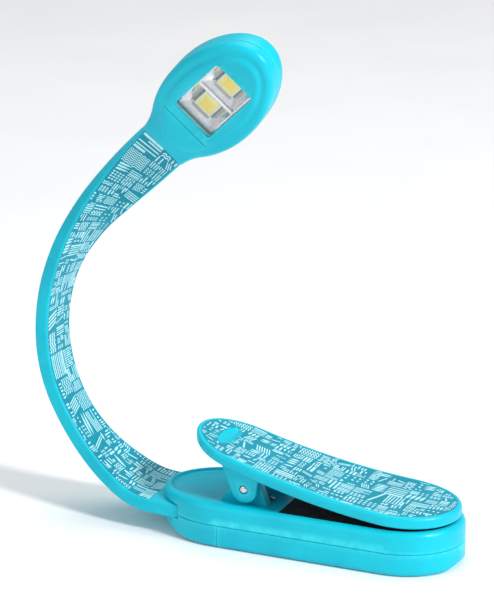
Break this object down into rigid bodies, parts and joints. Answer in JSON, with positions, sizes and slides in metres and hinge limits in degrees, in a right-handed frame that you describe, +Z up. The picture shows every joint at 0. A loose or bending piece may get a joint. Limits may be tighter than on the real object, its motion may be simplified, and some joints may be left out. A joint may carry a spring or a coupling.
{
  "type": "clip on reading lamp",
  "caption": "Small LED reading lamp: oval head with two LEDs, flat bendable neck, and a spring clip base with a padded jaw.",
  "frame": {"origin": "centre of the base's flat bottom face", "axes": "+Z up from the face the lamp stands on, +X along the base towards the jaw's tip, +Y across the base; the neck leaves the base's -X end"},
  "size_m": [0.1076, 0.0338, 0.1243],
  "materials": {
    "turquoise_plastic": "satin",
    "neck_silicone": "satin",
    "pad_rubber": "matte",
    "steel": "satin",
    "core_steel": "satin",
    "cell_steel": "satin",
    "contact_brass": "satin",
    "clear_window": "clear",
    "chrome_reflector": "mirror",
    "green_board": "gloss",
    "led_phosphor": "satin",
    "white_ceramic": "gloss",
    "black_plastic": "matte"
  },
  "bodies": {
    "base": {"upper_shell": "turquoise_plastic", "rear_lower_shell": "turquoise_plastic", "cell_tray": "black_plastic", "cell_rear": "cell_steel", "cell_front": "cell_steel", "contact_front": "contact_brass", "contact_rear": "contact_brass", "contact_bridge": "contact_brass", "base_screw_left": "steel", "base_screw_right": "steel", "clip_pad": "pad_rubber", "hinge_pin": "steel", "torsion_spring": "steel", "neck_root": "neck_silicone", "core_wire_root": "core_steel"},
    "cover": {"battery_cover": "turquoise_plastic"},
    "lever": {"lever": "turquoise_plastic"},
    "neck_01": {"neck_strap_01": "neck_silicone", "core_wire_01": "core_steel"},
    "neck_02": {"neck_strap_02": "neck_silicone", "core_wire_02": "core_steel"},
    "neck_03": {"neck_strap_03": "neck_silicone", "core_wire_03": "core_steel"},
    "neck_04": {"neck_strap_04": "neck_silicone", "core_wire_04": "core_steel"},
    "neck_05": {"neck_strap_05": "neck_silicone", "core_wire_05": "core_steel"},
    "neck_06": {"neck_strap_06": "neck_silicone", "core_wire_06": "core_steel"},
    "neck_07": {"neck_strap_07": "neck_silicone", "core_wire_07": "core_steel"},
    "neck_08": {"neck_strap_08": "neck_silicone", "core_wire_08": "core_steel"},
    "neck_09": {"neck_strap_09": "neck_silicone", "core_wire_09": "core_steel"},
    "neck_10": {"neck_strap_10": "neck_silicone", "core_wire_10": "core_steel"},
    "neck_11": {"neck_strap_11": "neck_silicone", "core_wire_11": "core_steel"},
    "neck_12": {"neck_strap_12": "neck_silicone", "core_wire_12": "core_steel"},
    "neck_13": {"neck_strap_13": "neck_silicone", "core_wire_13": "core_steel"},
    "head": {"neck_tip": "neck_silicone", "core_wire_tip": "core_steel", "head_front": "turquoise_plastic", "head_back": "turquoise_plastic", "window": "clear_window", "reflector": "chrome_reflector", "led_board": "green_board", "led_lower": "led_phosphor", "led_upper": "led_phosphor", "tact_switch": "black_plastic", "driver_resistor": "white_ceramic", "head_screw": "steel"},
    "button": {"switch_button": "turquoise_plastic"}
  },
  "joints": [
    {"name": "neck_bend_01", "type": "hinge", "parent": "base", "child": "neck_01", "pos_m": [-0.04407, 0, 0.0064], "axis": [0, 1, 0], "range_deg": [-33, 8]},
    {"name": "neck_bend_02", "type": "hinge", "parent": "neck_01", "child": "neck_02", "pos_m": [-0.05414, 0, 0.01294], "axis": [0, 1, 0], "range_deg": [-15, 3.64]},
    {"name": "neck_bend_03", "type": "hinge", "parent": "neck_02", "child": "neck_03", "pos_m": [-0.06208, 0, 0.02176], "axis": [0, 1, 0], "range_deg": [-16, 3.88]},
    {"name": "neck_bend_04", "type": "hinge", "parent": "neck_03", "child": "neck_04", "pos_m": [-0.06729, 0, 0.03245], "axis": [0, 1, 0], "range_deg": [-18, 4.36]},
    {"name": "neck_bend_05", "type": "hinge", "parent": "neck_04", "child": "neck_05", "pos_m": [-0.06895, 0, 0.04423], "axis": [0, 1, 0], "range_deg": [-18, 4.36]},
    {"name": "neck_twist_06", "type": "hinge", "parent": "neck_05", "child": "neck_06", "pos_m": [-0.06757, 0, 0.05205], "axis": [-0.1736, 0, -0.9848], "range_deg": [-5, 1.25]},
    {"name": "neck_bend_07", "type": "hinge", "parent": "neck_06", "child": "neck_07", "pos_m": [-0.06647, 0, 0.05825], "axis": [0.0858, 0.9962, -0.0151], "range_deg": [-20, 8]},
    {"name": "neck_twist_08", "type": "hinge", "parent": "neck_07", "child": "neck_08", "pos_m": [-0.06271, -0.00022, 0.06479], "axis": [-0.4987, 0.0298, -0.8663], "range_deg": [-17, 4.25]},
    {"name": "neck_bend_09", "type": "hinge", "parent": "neck_08", "child": "neck_09", "pos_m": [-0.05921, -0.00043, 0.07087], "axis": [0.3343, 0.9287, -0.1605], "range_deg": [-14, 5.6]},
    {"name": "neck_twist_10", "type": "hinge", "parent": "neck_09", "child": "neck_10", "pos_m": [-0.05446, -0.00127, 0.07596], "axis": [-0.6774, 0.1183, -0.7261], "range_deg": [-24, 6]},
    {"name": "neck_bend_11", "type": "hinge", "parent": "neck_10", "child": "neck_11", "pos_m": [-0.04971, -0.00209, 0.08105], "axis": [0.5719, 0.7055, -0.4186], "range_deg": [-5, 2]},
    {"name": "neck_twist_12", "type": "hinge", "parent": "neck_11", "child": "neck_12", "pos_m": [-0.04471, -0.00334, 0.08578], "axis": [-0.7151, 0.1788, -0.6757], "range_deg": [-22, 5.5]},
    {"name": "neck_bend_13", "type": "hinge", "parent": "neck_12", "child": "neck_13", "pos_m": [-0.04041, -0.00442, 0.08984], "axis": [0.6808, 0.3972, -0.6154], "range_deg": [-5, 2]},
    {"name": "neck_twist_14", "type": "hinge", "parent": "neck_13", "child": "head", "pos_m": [-0.03587, -0.00602, 0.09382], "axis": [-0.7262, 0.2566, -0.6378], "range_deg": [-12, 3]},
    {"name": "clip_lever_hinge", "type": "hinge", "parent": "base", "child": "lever", "pos_m": [-0.0135, 0, 0.0142], "axis": [0, -1, 0], "range_deg": [0, 38], "stiffness_Nm_per_rad": 0.15, "springref_deg": -28.65, "deforming": ["torsion_spring"]},
    {"name": "battery_cover_slide", "type": "slide", "parent": "base", "child": "cover", "axis": [1, 0, 0], "range_m": [0, 0.056]},
    {"name": "switch_button_press", "type": "slide", "parent": "head", "child": "button", "axis": [-0.0482, -0.9445, -0.3251], "range_m": [0, 0.0005], "stiffness_N_per_m": 800, "springref_m": -0.0005}
  ]
}
